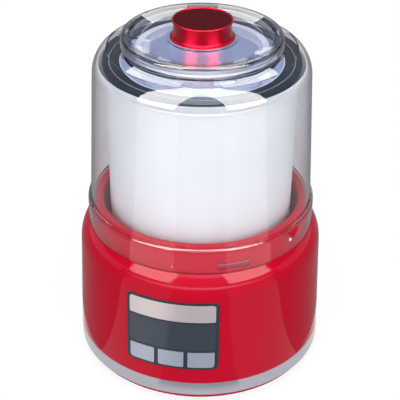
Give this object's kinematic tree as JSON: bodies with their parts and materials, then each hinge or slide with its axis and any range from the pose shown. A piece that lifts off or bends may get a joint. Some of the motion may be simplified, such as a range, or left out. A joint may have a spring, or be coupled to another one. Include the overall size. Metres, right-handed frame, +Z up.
{
  "type": "frozen yogurt maker",
  "caption": "Round red motor base with a display panel turns a white freezer bowl under a tall clear cover with a knobbed filler lid, to churn frozen yogurt.",
  "frame": {"origin": "centre of the base on the plane the feet stand on", "axes": "+Z up along the bowl's axis, the control panel faces -Y, +X to the panel's right seen from the front"},
  "size_m": [0.2138, 0.2154, 0.3075],
  "materials": {
    "red_gloss": "deep red, high gloss",
    "silver_trim": "satin silver",
    "silver_plate": "satin silver, bare",
    "silver_key": "silver paint, satin",
    "slate_plastic": "dark slate, gloss",
    "slate_lens": "dark slate window, gloss",
    "slate_rim": "dark slate, gloss",
    "clear_plastic": "clear, polished",
    "paddle_plastic": "milky clear",
    "white_plastic": "white, gloss",
    "liner_metal": "brushed, food-safe coating",
    "coolant": "sealed coolant",
    "rubber": "black rubber",
    "steel": "plain",
    "zinc_steel": "zinc plated",
    "bronze": "sintered",
    "gear_nylon": "natural",
    "circuit": "green lacquer",
    "lcd_grey": "grey display glass",
    "black_plastic": "black",
    "carbon": "dark grey",
    "lamination": "varnished sheets",
    "copper": "enamelled"
  },
  "bodies": {
    "base": {"rubber_feet": "rubber", "base_plate": "red_gloss", "plate_screws": "steel", "trim_band": "silver_trim", "base_housing": "red_gloss", "cord_inlet": "rubber", "panel_bezel": "slate_plastic", "name_plate": "silver_plate", "display_window": "slate_lens", "control_board": "circuit", "lcd_module": "lcd_grey", "key_switches": "black_plastic", "board_screws": "steel", "gear_chassis": "zinc_steel", "chassis_screws": "steel", "lower_bush": "bronze", "upper_bush": "bronze", "idler_axle": "steel", "idler_clip": "steel", "motor_can": "zinc_steel", "motor_front_bush": "bronze", "motor_end_cap": "black_plastic", "motor_brushes": "carbon", "motor_magnets": "carbon", "motor_screws": "steel", "power_board": "circuit", "supply_screws": "steel", "transformer_core": "lamination", "transformer_winding": "copper", "filter_capacitors": "black_plastic"},
    "rotor": {"motor_shaft": "steel", "armature_core": "lamination", "armature_winding": "copper", "commutator": "copper", "motor_pinion": "bronze"},
    "idler": {"idler_gear": "gear_nylon"},
    "bowl": {"drive_spindle": "steel", "spindle_clip": "steel", "drive_coupling": "gear_nylon", "output_gear": "gear_nylon", "bowl_socket": "white_plastic", "bowl_shell": "white_plastic", "coolant_fill": "coolant", "bowl_liner": "liner_metal", "bowl_rim": "slate_rim"},
    "cover": {"clear_cover": "clear_plastic", "mixing_paddle": "paddle_plastic"},
    "lid": {"filler_lid": "clear_plastic", "lid_knob": "red_gloss", "knob_screw": "steel"},
    "key_left": {"left_key": "silver_key"},
    "key_middle": {"middle_key": "silver_key"},
    "key_right": {"right_key": "silver_key"}
  },
  "joints": [
    {"name": "bowl_spin", "type": "hinge", "parent": "base", "child": "bowl", "pos_m": [0, 0, 0.09], "axis": [0, 0, 1], "continuous": true},
    {"name": "idler_spin", "type": "hinge", "parent": "base", "child": "idler", "pos_m": [0, 0.0525, 0.09], "axis": [0, 0, 1], "continuous": true},
    {"name": "rotor_spin", "type": "hinge", "parent": "base", "child": "rotor", "pos_m": [-0.03383, 0.04019, 0.055], "axis": [0, 0, 1], "continuous": true},
    {"name": "cover_lift", "type": "slide", "parent": "base", "child": "cover", "axis": [0, 0, 1], "range_m": [0, 0.16]},
    {"name": "lid_lift", "type": "slide", "parent": "cover", "child": "lid", "axis": [0, 0, 1], "range_m": [0, 0.04]},
    {"name": "left_key_press", "type": "slide", "parent": "base", "child": "key_left", "axis": [0, 1, 0], "range_m": [0, 0.001], "stiffness_N_per_m": 600},
    {"name": "middle_key_press", "type": "slide", "parent": "base", "child": "key_middle", "axis": [0, 1, 0], "range_m": [0, 0.001], "stiffness_N_per_m": 600},
    {"name": "right_key_press", "type": "slide", "parent": "base", "child": "key_right", "axis": [0, 1, 0], "range_m": [0, 0.001], "stiffness_N_per_m": 600}
  ],
  "couplings": [
    {"joint": "idler_spin", "follows": "bowl_spin", "ratio": -6},
    {"joint": "rotor_spin", "follows": "bowl_spin", "ratio": 30}
  ]
}
